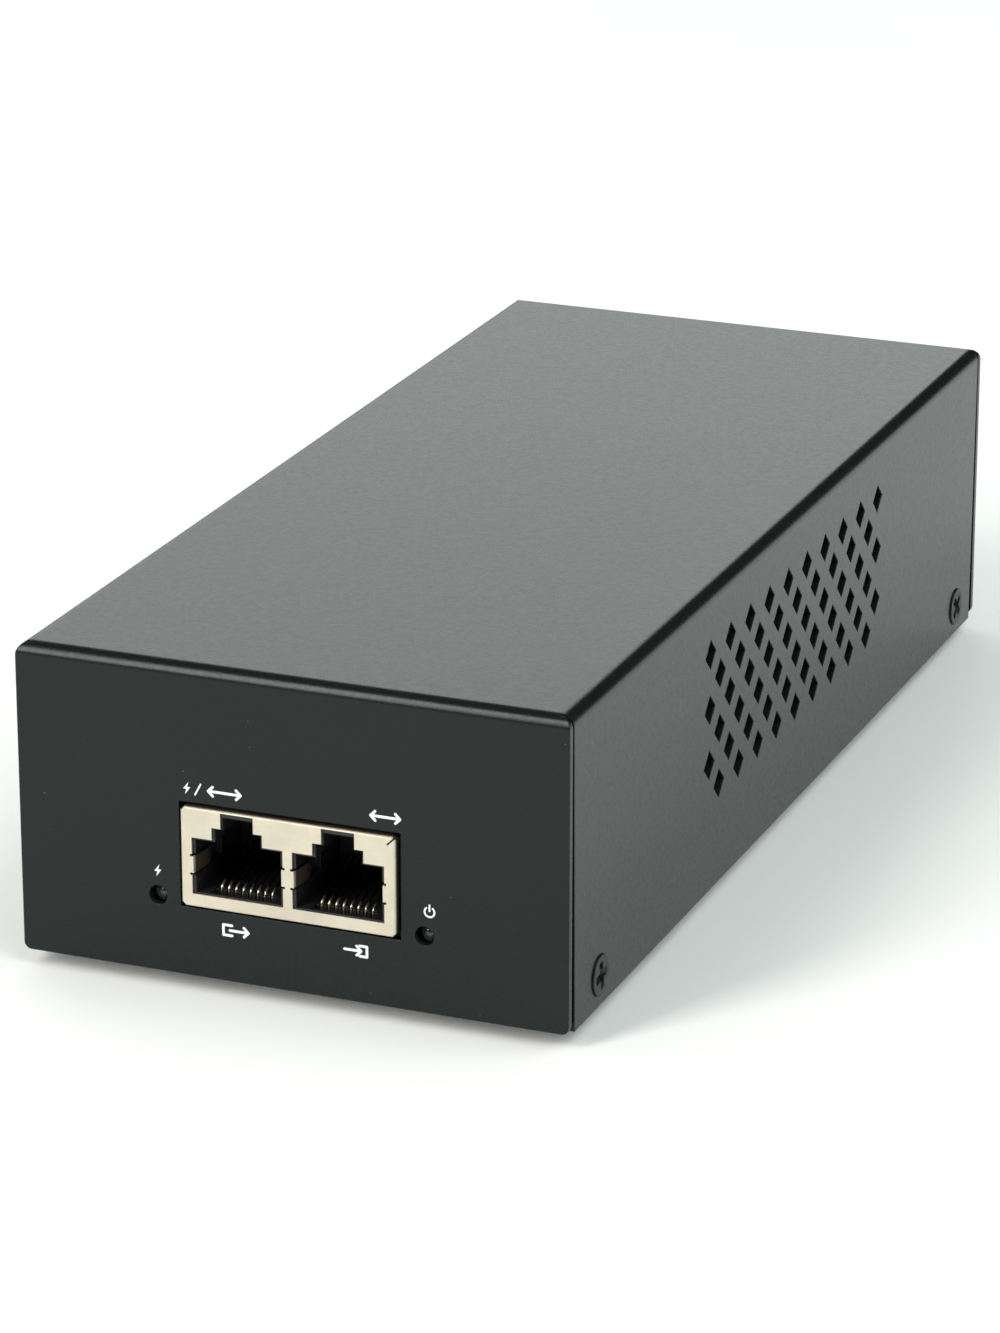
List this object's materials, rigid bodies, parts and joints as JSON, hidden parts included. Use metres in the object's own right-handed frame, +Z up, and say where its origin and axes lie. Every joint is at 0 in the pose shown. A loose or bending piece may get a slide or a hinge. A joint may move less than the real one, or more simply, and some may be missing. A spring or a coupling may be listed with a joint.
{
  "type": "poe injector",
  "caption": "Power-over-ethernet injector in a dark bent-steel case with two ganged network sockets, indicator lamps, side vents and a rear mains inlet.",
  "frame": {"origin": "centre of the footprint on the surface it stands on", "axes": "+Y from the front panel to the rear, +X to the right seen from the front, +Z up"},
  "size_m": [0.0764, 0.1764, 0.0447],
  "materials": {
    "case_paint": "fine-textured satin powder coat",
    "zinc_steel": "zinc plate",
    "black_screw": "black oxide",
    "foot_rubber": "matt moulded rubber",
    "shield_plate": "satin nickel plate",
    "black_plastic": "moulded, slight sheen",
    "gold_contact": "gold flash",
    "lamp_lens": "clear epoxy",
    "tinned_metal": "tin plate",
    "board_laminate": "solder mask",
    "film_sheet": "polyester film",
    "white_nylon": "moulded nylon",
    "fuse_glass": "clear",
    "blue_epoxy": "dipped epoxy",
    "yellow_case": "moulded box",
    "green_epoxy": "dipped epoxy",
    "ferrite": "sintered ferrite",
    "copper_wire": "enamelled copper",
    "winding_tape": "polyester tape",
    "sink_aluminium": "extruded",
    "can_sleeve": "shrink sleeve",
    "brown_wire": "PVC insulation",
    "blue_wire": "PVC insulation",
    "earth_wire": "PVC insulation"
  },
  "bodies": {
    "injector": {"base_tray": "zinc_steel", "board_screws": "tinned_metal", "board_standoffs": "zinc_steel", "bridge_rectifier": "black_plastic", "bulk_capacitor": "can_sleeve", "choke_base": "black_plastic", "choke_core": "ferrite", "choke_windings": "copper_wire", "contact_tails": "gold_contact", "cover": "case_paint", "cover_screws": "black_screw", "disc_capacitors": "blue_epoxy", "earth_nut": "zinc_steel", "earth_stud": "zinc_steel", "earth_wire": "earth_wire", "film_capacitor": "yellow_case", "fuse_caps": "tinned_metal", "fuse_clips": "tinned_metal", "fuse_tube": "fuse_glass", "heat_sink_screws": "tinned_metal", "in_contact_carrier": "black_plastic", "inductor_core": "ferrite", "inductor_winding": "copper_wire", "inlet_housing": "black_plastic", "inlet_nuts": "zinc_steel", "inlet_pins": "tinned_metal", "inlet_screws": "black_screw", "inrush_thermistor": "green_epoxy", "insulating_film": "film_sheet", "jack_housing": "black_plastic", "jack_shield": "shield_plate", "lamp_leads": "tinned_metal", "live_wire": "brown_wire", "main_board": "board_laminate", "mains_header": "white_nylon", "mains_header_pins": "tinned_metal", "mains_plug": "white_nylon", "network_transformers": "black_plastic", "neutral_wire": "blue_wire", "optocoupler": "black_plastic", "out_contact_carrier": "black_plastic", "output_capacitors": "can_sleeve", "output_heat_sink": "sink_aluminium", "output_rectifier": "black_plastic", "poe_control_chip": "black_plastic", "poe_lamp": "lamp_lens", "power_control_chip": "black_plastic", "power_lamp": "lamp_lens", "primary_heat_sink": "sink_aluminium", "primary_transistor": "black_plastic", "ring_terminal": "tinned_metal", "rubber_feet": "foot_rubber", "transformer_bobbin": "black_plastic", "transformer_core": "ferrite", "transformer_winding": "winding_tape", "wire_receptacles": "tinned_metal"},
    "out_springs": {"out_contact_springs": "gold_contact"},
    "in_springs": {"in_contact_springs": "gold_contact"}
  },
  "joints": [
    {"name": "out_contacts_press", "type": "hinge", "parent": "injector", "child": "out_springs", "pos_m": [-0.00698, -0.0847, 0.01395], "axis": [-1, 0, 0], "range_deg": [0, 8], "stiffness_Nm_per_rad": 0.32},
    {"name": "in_contacts_press", "type": "hinge", "parent": "injector", "child": "in_springs", "pos_m": [0.00698, -0.0847, 0.01395], "axis": [-1, 0, 0], "range_deg": [0, 8], "stiffness_Nm_per_rad": 0.32}
  ]
}
